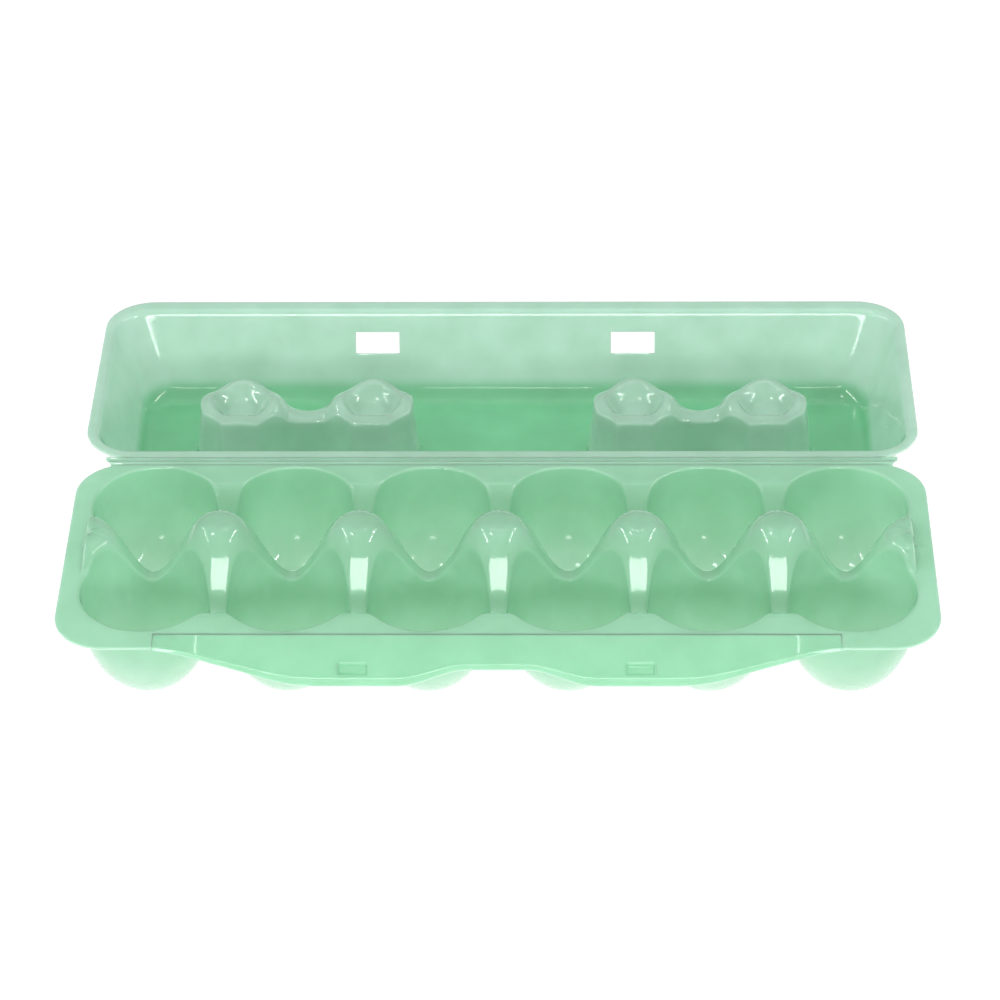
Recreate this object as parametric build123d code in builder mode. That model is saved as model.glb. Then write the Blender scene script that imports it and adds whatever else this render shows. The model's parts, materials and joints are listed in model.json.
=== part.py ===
from build123d import *
import math
import os

# Millimetres. X runs along the carton, Y from the lock flap to the lid, Z up.
# The origin lies on the table, under the middle of the open carton.

# The sheet and the egg cells
sheet = 1.8
columns = 6
cell_radius = 21.4  # inside a cell's wall, from its centre
ridge_width = 4.2  # crest between two neighbouring cells
rim_height = 36.5
saddle_drop = 12.7  # from the rim down to the lowest point of a ridge
foot_radius = 6.0
mouth_step = 0.5  # a bowl's mouth is this much narrower than the wall above it
shoulder_inset = 2.4
shoulder_drop = 6.9
bowl_sag = 1.8

# The posts and gussets that stand where the ridges cross
post_rise = 11.2  # above the rim
post_flat = 4.3
end_post_rise = 6.8
end_post_flat = 7.5
end_post_setback = 7.7  # from the end of the rim
gusset_depth = 13.3  # from the edge of the cell field to a gusset's tip
crest_lift = 0.4  # height of the crest over its plate at a saddle
crest_ease = 0.37  # handle of the crest's curve, as a share of its run
post_bore = 9.0  # opening under a post, in the plates

# The tray's rim
rear_ledge = 0.3
side_ledge = 5.3
rim_corner = 17.0

# The hinge strip, folded at both of its edges
strip_width = 3.0
strip_thickness = 1.0
fold_gap = 0.15
fold_depth = 1.4  # the two fold lines below the rims
strip_end_gap = 10.0
strip_flare = 2.0

# The lock flap and its buttons
flap_inset = 7.0  # from the rim's front edge back to the fold line
flap_slope = 34.0
flap_lean = 24.0  # of the shut flap, inward from upright
flap_length = 16.5
flap_half_length = 112.8
flap_notch_depth = 5.3
flap_notch_half = 9.0
flap_notch_run = 24.0
flap_full_end = 60.0
flap_taper_x = 84.0
flap_taper_length = 11.5
flap_end_length = 5.0
flap_end_x = 107.0
lip_width = 1.6
lip_start = 4.5
lip_depth = 0.3  # below the flap at its fold line
lip_angle = 7.4  # the lip grows by this slope away from the fold line
button_length = 10.4
button_width = 4.6
button_reach = 11.3  # from the fold line to a button's centre
button_depth = 2.8
button_wall = 0.9
button_draft = 9.0

# The lid
lid_depth = 34.0
lid_end_inset = 0.25
lid_side_band = 3.5
lid_near_band = 4.5
lid_flap_gap = 1.24  # from the fold line to the lid's wall at the rim
lid_mouth_corner = 13.0
lid_floor_corner = 11.0
lid_wall_run = 10.4  # inward run of the long walls, from mouth to floor
lid_end_run = 11.2
lid_floor_fillet = 6.0
window_length = 16.0
window_top = 8.0  # below the lid's rim
window_height = 7.7

# The lid's supports
support_columns = (1, 2)
boss_top_depth = 6.4
boss_top_reach = 14.5
boss_floor_reach = 17.0
boss_top_relief = 1.5  # a boss's flank circles are this much smaller than a cell
boss_floor_relief = 2.4
post_headroom = 1.3
recess_clearance = 1.2
web_depth = 13.4
web_half_width = 9.0
web_end = 12.0  # from a boss's centre to the end of the web inside it

# Places that follow
cell_pitch = 2 * cell_radius + ridge_width
half_pitch = cell_pitch / 2
wall_radius = cell_radius + sheet
saddle_height = rim_height - saddle_drop
field_half_length = columns * half_pitch
rim_half_length = field_half_length - half_pitch + wall_radius + side_ledge
fold_radius = strip_thickness / 2
fold_reach = fold_gap + fold_radius
fold_height = rim_height - fold_depth
flap_fold_height = rim_height - sheet / 2

# Distances from the line of posts
flap_fold_reach = half_pitch + wall_radius + sheet / 2
front_reach = flap_fold_reach + flap_inset
rear_reach = half_pitch + wall_radius + rear_ledge
rim_width = front_reach + rear_reach
tray_fold_reach = rear_reach + fold_reach
lid_fold_reach = tray_fold_reach + strip_width

# The open lid leans on the far edge of its roof, which sets its tilt
lid_near_edge = fold_reach
lid_far_edge = lid_near_edge + rim_width
lid_near_wall = lid_near_edge + lid_near_band
lid_far_wall = lid_far_edge - (flap_inset - lid_flap_gap)
roof_fillet = lid_floor_fillet + sheet
roof_far_edge = lid_far_wall + sheet - lid_wall_run
roof_drop = lid_depth - fold_depth
lean_run = roof_far_edge - roof_fillet
lean_drop = roof_drop - roof_fillet
lid_tilt = math.degrees(
    math.asin((fold_height - roof_fillet) / math.hypot(lean_run, lean_drop)) - math.atan2(lean_drop, lean_run)
)

# The origin is midway between the flap's tip and the lid's far edge
slope = math.radians(flap_slope)
tilt = math.radians(lid_tilt)
flap_tip_reach = flap_fold_reach + flap_length * math.cos(slope) + sheet / 2 * math.sin(slope)
lid_tip_reach = lid_fold_reach + lid_far_edge * math.cos(tilt) + fold_depth * math.sin(tilt)
post_line = (flap_tip_reach - lid_tip_reach) / 2
row_lines = {"front": post_line - half_pitch, "rear": post_line + half_pitch}
column_lines = [(column - (columns - 1) / 2) * cell_pitch for column in range(columns)]
ridge_lines = [(column - columns / 2) * cell_pitch for column in range(1, columns)]
rim_middle = post_line + (rear_reach - front_reach) / 2

flap_plane = Plane(
    origin=(0, post_line - flap_fold_reach, flap_fold_height),
    x_dir=(1, 0, 0),
    z_dir=(0, -math.sin(slope), math.cos(slope)),
)
lid_plane = Plane(
    origin=(0, post_line + lid_fold_reach, fold_height),
    x_dir=(1, 0, 0),
    z_dir=(0, math.sin(tilt), math.cos(tilt)),
)
lid_up = Axis((0, 0, 0), lid_plane.z_dir)

os.makedirs("parts", exist_ok=True)


def save(piece, name):
    piece.part.label = name
    export_step(piece.part, f"parts/{name}.step")


# Cell field, the area inside the walls of all the cells, and its outline outside them
def cell_field(wall):
    with BuildSketch() as field:
        with Locations((0, post_line)):
            Rectangle(
                2 * (field_half_length - gusset_depth + wall),
                2 * (cell_pitch - gusset_depth + wall),
            )
        for row_line in row_lines.values():
            for x in column_lines:
                with Locations((x, row_line)):
                    Circle(cell_radius + wall)
    return field.sketch


field_inside = cell_field(0)
field_outside = cell_field(sheet)


# Tray
def make_tray_rim():
    with BuildPart() as rim:
        with BuildSketch(Plane.XY.offset(rim_height - sheet)):
            with Locations((0, rim_middle)):
                RectangleRounded(2 * rim_half_length, rim_width, rim_corner)
            notch_half = flap_half_length + fold_gap
            notch_edge = post_line - flap_fold_reach + sheet / 2 + fold_gap
            with Locations((0, notch_edge)):
                Rectangle(2 * notch_half, rim_width, align=(Align.CENTER, Align.MAX), mode=Mode.SUBTRACT)
            add(field_inside, mode=Mode.SUBTRACT)
        extrude(amount=sheet)
        # The edge beside the fold line slopes back, to clear the flap when it leans in
        lean = math.radians(flap_lean)
        shut_flap = Plane(
            origin=(-notch_half, post_line - flap_fold_reach, flap_fold_height),
            x_dir=(0, math.sin(lean), math.cos(lean)),
            z_dir=(1, 0, 0),
        )
        with BuildSketch(shut_flap):
            Rectangle(2 * sheet, sheet + 2 * fold_gap, align=(Align.MIN, Align.CENTER))
        extrude(amount=2 * notch_half, mode=Mode.SUBTRACT)
    save(rim, "tray_rim")


def make_egg_cell(name, x, row_line):
    mouth_radius = wall_radius - mouth_step
    shoulder = (mouth_radius - shoulder_inset, saddle_height - shoulder_drop)
    centre = (x, row_line)
    with BuildPart() as cell:
        with BuildSketch(Plane(origin=(x, row_line, 0), x_dir=(1, 0, 0), z_dir=(0, -1, 0))):
            with BuildLine():
                foot = Line((0, 0), (foot_radius, 0))
                curve = SagittaArc(foot @ 1, shoulder, -bowl_sag)
                Polyline(curve @ 1, (mouth_radius, saddle_height), (0, saddle_height), (0, 0))
            make_face()
        revolve(axis=Axis((x, row_line, 0), (0, 0, 1)))
        offset(amount=-sheet, openings=cell.faces().sort_by(Axis.Z)[-1])
        with BuildSketch(Plane.XY.offset(saddle_height - sheet)):
            with Locations(centre):
                Rectangle(cell_pitch, cell_pitch)
            add(field_outside, mode=Mode.INTERSECT)
            with Locations(centre):
                Circle(mouth_radius - sheet / 2, mode=Mode.SUBTRACT)
            with Locations([(ridge, post_line) for ridge in ridge_lines]):
                Circle(post_bore, mode=Mode.SUBTRACT)
        extrude(amount=sheet)
        with BuildSketch(Plane.XY.offset(saddle_height)):
            with Locations(centre):
                Rectangle(cell_pitch, cell_pitch)
            add(field_outside, mode=Mode.INTERSECT)
            add(field_inside, mode=Mode.SUBTRACT)
        extrude(amount=saddle_drop - sheet)
    save(cell, name)


# One ridge crossing: the area between four cells, under a crest that falls away from its middle
def crossing_outline(x, y, wall):
    with BuildSketch() as outline:
        with Locations((x, y)):
            Rectangle(cell_pitch, cell_pitch)
            with GridLocations(cell_pitch, cell_pitch, 2, 2):
                Circle(cell_radius + wall, mode=Mode.SUBTRACT)
    return outline.sketch


def crest_section(x, y, rise, flat, drop):
    top = rim_height + rise - drop
    base = saddle_height + crest_lift - drop
    floor = base - sheet
    ease = crest_ease * (half_pitch - flat)
    with BuildSketch(Plane(origin=(x, y, 0), x_dir=(1, 0, 0), z_dir=(0, -1, 0))) as section:
        with BuildLine():
            Line((0, top), (flat, top))
            Bezier((flat, top), (flat + ease, top), (half_pitch - ease, base), (half_pitch, base))
            Polyline((half_pitch, base), (cell_pitch, base), (cell_pitch, floor), (0, floor), (0, top))
        make_face()
    return section.sketch


def make_centre_post(name, x):
    spin = Axis((x, post_line, 0), (0, 0, 1))
    with BuildPart() as hollow:
        with BuildSketch(Plane.XY.offset(saddle_height)):
            add(crossing_outline(x, post_line, sheet))
            with Locations((x, post_line)):
                Circle(half_pitch - sheet, mode=Mode.INTERSECT)
        extrude(amount=saddle_drop + post_rise)
        add(crest_section(x, post_line, post_rise, post_flat, sheet))
        revolve(axis=spin, mode=Mode.INTERSECT)
    with BuildPart() as post:
        with BuildSketch(Plane.XY.offset(saddle_height)):
            add(crossing_outline(x, post_line, 0))
        extrude(amount=saddle_drop + post_rise)
        add(crest_section(x, post_line, post_rise, post_flat, 0))
        revolve(axis=spin, mode=Mode.INTERSECT)
        add(hollow.part, mode=Mode.SUBTRACT)
    save(post, name)


def make_gusset(name, x, y):
    with BuildPart() as gusset:
        with BuildSketch(Plane.XY.offset(saddle_height)):
            add(crossing_outline(x, y, 0))
            add(field_inside, mode=Mode.INTERSECT)
        extrude(amount=saddle_drop)
        add(crest_section(x, y, post_rise, post_flat, 0))
        revolve(axis=Axis((x, y, 0), (0, 0, 1)), mode=Mode.INTERSECT)
    save(gusset, name)


# An end post stands on the plates inside the field and on the rim outside it
def make_end_post(name, side):
    x = side * field_half_length
    outer_face = rim_half_length - end_post_setback
    inner_face = field_half_length - gusset_depth
    with BuildPart() as post:
        with BuildSketch(Plane.XY.offset(saddle_height)):
            add(crossing_outline(x, post_line, 0))
            with Locations((0, post_line)):
                Rectangle(2 * outer_face, cell_pitch, mode=Mode.INTERSECT)
        extrude(amount=saddle_drop + end_post_rise)
        add(crest_section(x, post_line, end_post_rise, end_post_flat, 0))
        revolve(axis=Axis((x, post_line, 0), (0, 0, 1)), mode=Mode.INTERSECT)
        with BuildSketch(Plane.XY.offset(saddle_height)):
            with Locations((side * inner_face, post_line)):
                Rectangle(cell_pitch, cell_pitch, align=(Align.MIN if side > 0 else Align.MAX, Align.CENTER))
        extrude(amount=saddle_drop, mode=Mode.SUBTRACT)
    save(post, name)


# Hinge strip
def make_hinge_strip():
    tray_half = rim_half_length - strip_end_gap
    lid_half = tray_half + strip_flare
    fold_lines = {
        tray_half: post_line + tray_fold_reach,
        lid_half: post_line + lid_fold_reach,
    }
    with BuildPart() as strip:
        with BuildSketch(Plane.XY.offset(fold_height - fold_radius)):
            corners = [(-half, y) for half, y in fold_lines.items()] + [
                (half, y) for half, y in reversed(fold_lines.items())
            ]
            with BuildLine():
                Polyline(*corners, close=True)
            make_face()
        extrude(amount=strip_thickness)
        for half, y in fold_lines.items():
            with BuildSketch(Plane(origin=(-half, y, fold_height), x_dir=(0, 1, 0), z_dir=(1, 0, 0))):
                Circle(fold_radius)
            extrude(amount=2 * half)
    save(strip, "hinge_strip")


# Lock flap. On its plane, Y points back to the fold line.
def flap_outline():
    notch_edge = flap_notch_half + flap_notch_run
    full = -flap_length
    notch = full + flap_notch_depth
    half_run = flap_notch_run / 2
    taper = (flap_taper_x, -flap_taper_length)
    end = (flap_end_x, -flap_end_length)
    with BuildSketch() as outline:
        with BuildLine() as edge:
            Line((0, 0), (flap_half_length, 0))
            Line((flap_half_length, 0), end)
            Spline(end, taper, (flap_full_end, full), tangents=[(-1, -0.2), (-1, 0)])
            Line((flap_full_end, full), (notch_edge, full))
            Bezier(
                (notch_edge, full),
                (notch_edge - half_run, full),
                (flap_notch_half + half_run, notch),
                (flap_notch_half, notch),
            )
            Line((flap_notch_half, notch), (0, notch))
            mirror(about=Plane.YZ)
        make_face()
    return outline.sketch


def make_lock_flap():
    half_sheet = sheet / 2
    lip_reach = flap_length + sheet
    with BuildPart() as lip:
        with BuildSketch(flap_plane.offset(half_sheet)):
            add(flap_outline())
            offset(amount=-lip_width, mode=Mode.SUBTRACT)
            with Locations((0, -lip_start)):
                Rectangle(3 * flap_half_length, lip_reach, align=(Align.CENTER, Align.MIN), mode=Mode.SUBTRACT)
        extrude(amount=-lip_reach)
        under_side = Plane(
            origin=flap_plane.from_local_coords((0, 0, -half_sheet - lip_depth)),
            x_dir=(1, 0, 0),
            z_dir=flap_plane.z_dir.rotate(Axis.X, -lip_angle),
        )
        split(bisect_by=under_side, keep=Keep.TOP)
    with BuildPart() as flap:
        with BuildSketch(flap_plane.offset(-half_sheet)):
            add(flap_outline())
            with Locations([(side * cell_pitch, -button_reach) for side in (-1, 1)]):
                Rectangle(button_length, button_width, mode=Mode.SUBTRACT)
        extrude(amount=sheet)
        fold_end = flap_plane.from_local_coords((-flap_half_length, 0, 0))
        with BuildSketch(Plane(origin=fold_end, x_dir=(0, 1, 0), z_dir=(1, 0, 0))):
            Circle(half_sheet)
        extrude(amount=2 * flap_half_length)
        add(lip.part)
    save(flap, "lock_flap")


# A button is a pocket pressed through the flap, standing out of its back
def make_lock_button(name, x):
    pocket_depth = sheet + button_depth - button_wall
    with BuildPart() as button:
        with BuildSketch(flap_plane.offset(sheet / 2)):
            with Locations((x, -button_reach)):
                Rectangle(button_length, button_width)
        extrude(amount=-sheet)
        with BuildSketch(flap_plane.offset(-sheet / 2)):
            with Locations((x, -button_reach)):
                Rectangle(button_length, button_width)
        extrude(amount=-button_depth, taper=button_draft)
        with BuildSketch(flap_plane.offset(sheet / 2)):
            with Locations((x, -button_reach)):
                Rectangle(button_length - 2 * button_wall, button_width - 2 * button_wall)
        extrude(amount=-pocket_depth, taper=button_draft / 2, mode=Mode.SUBTRACT)
    save(button, name)


# Lid. Its plane lies on the fold line, with Y away from the tray and Z out of the mouth.
lid_middle = (lid_near_wall + lid_far_wall) / 2
roof_height = fold_depth - lid_depth
lid_floor_height = roof_height + sheet
boss_line = tray_fold_reach
boss_top_height = fold_depth - boss_top_depth
boss_lines = [side * column * cell_pitch for side in (-1, 1) for column in support_columns]
web_line = sum(support_columns) / len(support_columns) * cell_pitch


def lid_section(height, wall):
    share = (fold_depth - height) / (fold_depth - lid_floor_height)
    mouth_half = rim_half_length - lid_end_inset - lid_side_band
    with BuildSketch(lid_plane.offset(height)) as section:
        with Locations((0, lid_middle)):
            RectangleRounded(
                2 * (mouth_half + wall - lid_end_run * share),
                lid_far_wall - lid_near_wall + 2 * (wall - lid_wall_run * share),
                lid_mouth_corner + (lid_floor_corner - lid_mouth_corner) * share + wall,
            )
    return section.sketch


def lid_hollow(name, top, bottom, wall, fillet_radius):
    with BuildPart() as body:
        add(lid_section(top, wall))
        add(lid_section(bottom, wall))
        loft(ruled=True)
        fillet(body.faces().sort_by(lid_up)[0].edges(), fillet_radius)
    return body.part


def egg_relief(height):
    share = (boss_top_height - height) / (boss_top_height - lid_floor_height)
    return boss_top_relief + (boss_floor_relief - boss_top_relief) * share


def boss_section(height, x, wall):
    share = (boss_top_height - height) / (boss_top_height - lid_floor_height)
    with BuildSketch(lid_plane.offset(height)) as section:
        with Locations((x, boss_line)):
            Circle(boss_top_reach + (boss_floor_reach - boss_top_reach) * share - wall)
            with GridLocations(cell_pitch, cell_pitch, 2, 2):
                Circle(cell_radius - egg_relief(height) + wall, mode=Mode.SUBTRACT)
    return section.sketch


def web_section(height, x, wall):
    with BuildSketch(lid_plane.offset(height)) as section:
        with Locations((x, boss_line)):
            Rectangle(cell_pitch - 2 * web_end, cell_pitch)
            with GridLocations(cell_pitch, cell_pitch, 1, 2):
                Circle(cell_radius - egg_relief(height) + wall, mode=Mode.SUBTRACT)
            with Locations((0, cell_pitch), (0, -cell_pitch)):
                Rectangle(cell_pitch, cell_pitch, mode=Mode.SUBTRACT)
    return section.sketch


def make_lid_shell():
    outside = lid_hollow("outside", fold_depth, roof_height, sheet, roof_fillet)
    cavity = lid_hollow("cavity", fold_depth, lid_floor_height, 0, lid_floor_fillet)
    window_middle = fold_depth - window_top - window_height / 2
    window_plane = Plane(
        origin=lid_plane.from_local_coords((0, lid_middle, window_middle)),
        x_dir=(-1, 0, 0),
        z_dir=lid_plane.y_dir,
    )
    with BuildPart() as shell:
        with BuildSketch(lid_plane.offset(fold_depth - sheet)):
            with Locations((0, (lid_near_edge + lid_far_edge) / 2)):
                RectangleRounded(2 * (rim_half_length - lid_end_inset), rim_width, rim_corner)
        extrude(amount=sheet)
        add(outside)
        add(cavity, mode=Mode.SUBTRACT)
        with BuildSketch(window_plane):
            with Locations([(side * cell_pitch, 0) for side in (-1, 1)]):
                Rectangle(window_length, window_height)
        extrude(amount=lid_far_edge, mode=Mode.SUBTRACT)
        for x in boss_lines:
            add(boss_section(lid_floor_height, x, sheet))
            extrude(amount=2 * sheet, both=True, mode=Mode.SUBTRACT)
    save(shell, "lid_shell")


# A support is a pair of hollow bosses, open at the roof, with a low web between them.
# The seat in a boss's top takes the tip of a centre post when the lid is shut.
def seat_radius():
    post_drop = post_rise - boss_top_depth
    post_height = saddle_drop + post_rise - crest_lift
    turn = math.acos(1 - 2 * post_drop / post_height) / math.pi
    return post_flat + (half_pitch - post_flat) * turn + recess_clearance


def make_lid_support(name, side):
    seat_height = fold_depth - post_rise - post_headroom
    web_rise = web_depth - boss_top_depth
    web_round = (web_half_width**2 + web_rise**2) / (2 * web_rise)
    with BuildPart() as support:
        for column in support_columns:
            x = side * column * cell_pitch
            add(boss_section(lid_floor_height, x, 0))
            add(boss_section(boss_top_height, x, 0))
            loft(ruled=True)
        add(web_section(lid_floor_height, side * web_line, 0))
        add(web_section(boss_top_height, side * web_line, 0))
        loft(ruled=True)
        web_plane = Plane(
            origin=lid_plane.from_local_coords((side * web_line, 0, fold_depth - web_depth + web_round)),
            x_dir=(1, 0, 0),
            z_dir=-lid_plane.y_dir,
        )
        with BuildSketch(web_plane):
            Circle(web_round)
        extrude(amount=-2 * boss_line, mode=Mode.SUBTRACT)
        for column in support_columns:
            x = side * column * cell_pitch
            add(boss_section(lid_floor_height, x, sheet))
            add(boss_section(seat_height - sheet, x, sheet))
            loft(ruled=True, mode=Mode.SUBTRACT)
            with BuildSketch(lid_plane.offset(seat_height)):
                with Locations((x, boss_line)):
                    Circle(seat_radius())
            extrude(amount=boss_top_height - seat_height, mode=Mode.SUBTRACT)
    save(support, name)


make_tray_rim()
for row, row_line in row_lines.items():
    for number, x in enumerate(column_lines, start=1):
        make_egg_cell(f"egg_cell_{row}_{number}", x, row_line)
for number, x in enumerate(ridge_lines, start=1):
    make_centre_post(f"centre_post_{number}", x)
    make_gusset(f"gusset_front_{number}", x, post_line - cell_pitch)
    make_gusset(f"gusset_rear_{number}", x, post_line + cell_pitch)
make_end_post("end_post_left", -1)
make_end_post("end_post_right", 1)
make_hinge_strip()
make_lock_flap()
make_lock_button("lock_button_left", -cell_pitch)
make_lock_button("lock_button_right", cell_pitch)
make_lid_shell()
make_lid_support("lid_support_left", -1)
make_lid_support("lid_support_right", 1)
print(f"post line y {post_line:.3f}, lid tilt {lid_tilt:.3f} degrees")
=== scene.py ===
import json
import math

import bpy
import numpy as np
from mathutils import Matrix, Vector
from mathutils.geometry import delaunay_2d_cdt


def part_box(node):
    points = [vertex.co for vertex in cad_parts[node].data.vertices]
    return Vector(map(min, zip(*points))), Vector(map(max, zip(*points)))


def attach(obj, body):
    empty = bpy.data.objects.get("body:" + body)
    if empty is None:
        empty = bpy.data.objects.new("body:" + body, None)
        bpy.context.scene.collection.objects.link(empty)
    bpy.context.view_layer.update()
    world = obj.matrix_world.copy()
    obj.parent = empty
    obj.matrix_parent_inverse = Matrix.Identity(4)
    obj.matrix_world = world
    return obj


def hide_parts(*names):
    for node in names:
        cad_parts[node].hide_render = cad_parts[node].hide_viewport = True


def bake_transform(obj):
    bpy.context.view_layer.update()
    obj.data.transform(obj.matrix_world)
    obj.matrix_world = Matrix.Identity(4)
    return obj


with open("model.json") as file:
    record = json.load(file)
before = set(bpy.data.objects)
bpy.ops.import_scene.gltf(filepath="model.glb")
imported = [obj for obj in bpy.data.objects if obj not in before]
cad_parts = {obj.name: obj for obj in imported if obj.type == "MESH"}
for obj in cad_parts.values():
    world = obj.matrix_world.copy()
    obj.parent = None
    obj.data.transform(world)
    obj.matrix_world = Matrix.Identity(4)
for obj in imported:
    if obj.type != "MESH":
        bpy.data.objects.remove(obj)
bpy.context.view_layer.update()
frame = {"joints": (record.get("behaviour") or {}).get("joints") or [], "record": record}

bl_info = {
    "name": "Moulded Egg Carton",
    "version": (1, 0, 0),
    "blender": (4, 5, 0),
    "location": "3D View > Sidebar > Egg Carton",
    "description": "Models the folding foam egg carton around its packed frame",
    "category": "Object",
}

MM = 0.001
RAY_STEP = 4.5  # degrees between the rays of a cell's mesh
SEAM = 0.02  # mm, under which neighbouring points are one
SHARP_ANGLE = 60.0  # degrees, from which an edge is rounded


def mm_box(node):
    low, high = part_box(node)
    return [value / MM for value in low], [value / MM for value in high]


def joint_place(name):
    joint = next(item for item in frame["joints"] if item["name"] == name)
    return [value / MM for value in joint["pos_m"]]


RIM_LOW, RIM_HIGH = mm_box("tray_rim")
POST_LOW, POST_HIGH = mm_box("centre_post_3")
END_POST_TOP = mm_box("end_post_left")[1][2]
PITCH = POST_HIGH[0] - POST_LOW[0]
HALF_PITCH = PITCH / 2
POST_LINE = (POST_LOW[1] + POST_HIGH[1]) / 2
SADDLE = POST_LOW[2]
COLUMNS = 6
FIELD_HALF = COLUMNS * HALF_PITCH
FLAP_FOLD = joint_place("flap_fold")
STRIP_FOLD = joint_place("strip_fold")
LID_FOLD = joint_place("lid_fold")
FLAP_HALF = mm_box("lock_flap")[1][0]
LID_HALF = mm_box("lid_shell")[1][0]


# Tools for meshes


def deselect_all():
    if bpy.context.object and bpy.context.object.mode != "OBJECT":
        bpy.ops.object.mode_set(mode="OBJECT")
    bpy.ops.object.select_all(action="DESELECT")


def pick(*pieces):
    deselect_all()
    for piece in pieces:
        piece.select_set(True)
    bpy.context.view_layer.objects.active = pieces[0]


def edit_all(*operations):
    """Runs edit mode operators on everything in the active piece."""
    bpy.ops.object.mode_set(mode="EDIT")
    bpy.ops.mesh.select_all(action="SELECT")
    for operation in operations:
        operation()
    bpy.ops.object.mode_set(mode="OBJECT")


def merge_seams():
    bpy.ops.mesh.remove_doubles(threshold=SEAM * MM)


def point_outwards():
    bpy.ops.mesh.normals_make_consistent(inside=False)


def sheet_grid(name, points):
    """A grid whose vertices are moved to the given rows of points, in mm."""
    rows, columns = points.shape[:2]
    deselect_all()
    bpy.ops.mesh.primitive_grid_add(x_subdivisions=columns - 1, y_subdivisions=rows - 1, size=1)
    piece = bpy.context.object
    piece.name = name
    place = np.zeros(len(piece.data.vertices) * 3)
    piece.data.vertices.foreach_get("co", place)
    place = place.reshape(-1, 3)
    column = np.rint((place[:, 0] + 0.5) * (columns - 1)).astype(int)
    row = np.rint((place[:, 1] + 0.5) * (rows - 1)).astype(int)
    piece.data.vertices.foreach_set("co", (points[row, column] * MM).ravel())
    piece.data.update()
    return piece


def join(pieces, name):
    pick(*pieces)
    bpy.ops.object.join()
    piece = bpy.context.object
    piece.name = name
    piece.data.name = name
    return piece


def apply_modifier(piece, name, kind, **settings):
    modifier = piece.modifiers.new(name, kind)
    for key, value in settings.items():
        setattr(modifier, key, value)
    pick(piece)
    bpy.ops.object.modifier_apply(modifier=modifier.name)


def face_up(piece):
    """Turns an open sheet's faces so that most of them look up."""
    pick(piece)
    edit_all(merge_seams, point_outwards)
    area_up = sum(face.normal.z * face.area for face in piece.data.polygons)
    if area_up < 0:
        edit_all(bpy.ops.mesh.flip_normals)


def thicken(piece, thickness, edge_round):
    """Gives an open sheet its thickness under its upper face, and rounds its rim."""
    apply_modifier(
        piece, "Thickness", "SOLIDIFY", thickness=thickness * MM, offset=-1.0, use_even_offset=True
    )
    apply_modifier(
        piece,
        "Rounded rim",
        "BEVEL",
        width=edge_round * MM,
        segments=3,
        limit_method="ANGLE",
        angle_limit=math.radians(SHARP_ANGLE),
    )
    pick(piece)
    bpy.ops.object.shade_smooth()


# Curves and heights, in mm


def cubic(start, start_handle, end_handle, end, count):
    share = np.linspace(0, 1, count)[:, None]
    rest = 1 - share
    points = [np.array(point, float) for point in (start, start_handle, end_handle, end)]
    weights = (rest**3, 3 * rest**2 * share, 3 * rest * share**2, share**3)
    return sum(weight * point for weight, point in zip(weights, points))


def quadratic(start, corner, end, share):
    return (1 - share) ** 2 * start + 2 * share * (1 - share) * corner + share**2 * end


def ease(value, low, high):
    """Rises from 0 at low to 1 at high, level at both ends."""
    share = np.clip((value - low) / (high - low), 0, 1)
    return (1 - np.cos(math.pi * share)) / 2


def soft_min(first, second, width):
    share = np.clip(0.5 + 0.5 * (second - first) / width, 0, 1)
    return second + (first - second) * share - width * share * (1 - share)


def soft_max(first, second, width):
    return -soft_min(-first, -second, width)


def ray_reach(angle, outline):
    """Distance from the middle to a closed outline along a ray."""
    along = np.array([math.cos(angle), math.sin(angle)])
    across = np.array([-along[1], along[0]])
    start = outline
    end = np.roll(outline, -1, axis=0)
    side_start = start @ across
    side_end = end @ across
    crosses = (side_start <= 0) != (side_end <= 0)
    share = side_start[crosses] / (side_start[crosses] - side_end[crosses])
    hits = (start[crosses] + share[:, None] * (end[crosses] - start[crosses])) @ along
    return hits[hits > 0].min()


def spread_angles(special):
    """Even rays all round, with the special ones in place of those they nearly meet."""
    even = np.arange(0, 360, RAY_STEP)

    def far_from_special(angle):
        return all(abs((angle - fixed + 180) % 360 - 180) > RAY_STEP / 4 for fixed in special)

    kept = [angle for angle in even if far_from_special(angle)]
    angles = sorted(set(round(value % 360, 6) for value in [*kept, *special]))
    return np.radians(angles + [angles[0] + 360])


# The tray's upper surface. Here Y is measured from the line of posts.

FRONT_EDGE = RIM_LOW[1] - POST_LINE
REAR_EDGE = RIM_HIGH[1] - POST_LINE
END_EDGE = RIM_HIGH[0]
RIM_TOP = RIM_HIGH[2]
POST_TOP = POST_HIGH[2]
RIM_CORNER = 17.0
POST_FLAT = 4.3
END_POST_FLAT = 7.5
END_POST_FACE = (138.6, 140.6)  # X where an end post falls to the rim
END_POST_SINK = 2.0  # below the rim, where an end post's face runs out
END_POST_BLEND = 1.6  # width of the blend between an end post and the rim
FOLD_SETBACK = 0.3  # from the flap's fold line back to the tray's cut edge
CREASE = FLAP_FOLD[1] - POST_LINE + FOLD_SETBACK
NOTCH_HALF = FLAP_HALF + 0.1
FOOT = (5.6, 0.9)  # radius and height of a bowl's flat foot
BOWL_MOUTH = (20.9, 23.8)
BOWL_HANDLES = ((12.5, 0.9), (20.0, 11.5))
WALL_TOP = (21.8, 36.5)
POST_WALL_TOP = (22.6, 48.0)
BOWL_TOP_RING = 20.0  # height of the last ring that all of a bowl's rays share
BOWL_RINGS = 15
WALL_RINGS = 7
FILLET_RINGS = 5
CREST_RINGS = 9
CREST_LIFT = 0.4  # of the lowest part of a crest over its saddle
CREST_ROUND = 1.1
CUSP_ROUND = 9.0  # softens the shoulder where a ridge meets the rim
RIM_ROUND = 1.1


def crest_height(along, top, flat):
    """Height of a ridge's crest at a distance from the middle of its post."""
    return top - (top - SADDLE - CREST_LIFT) * ease(along, flat, HALF_PITCH)


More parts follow.
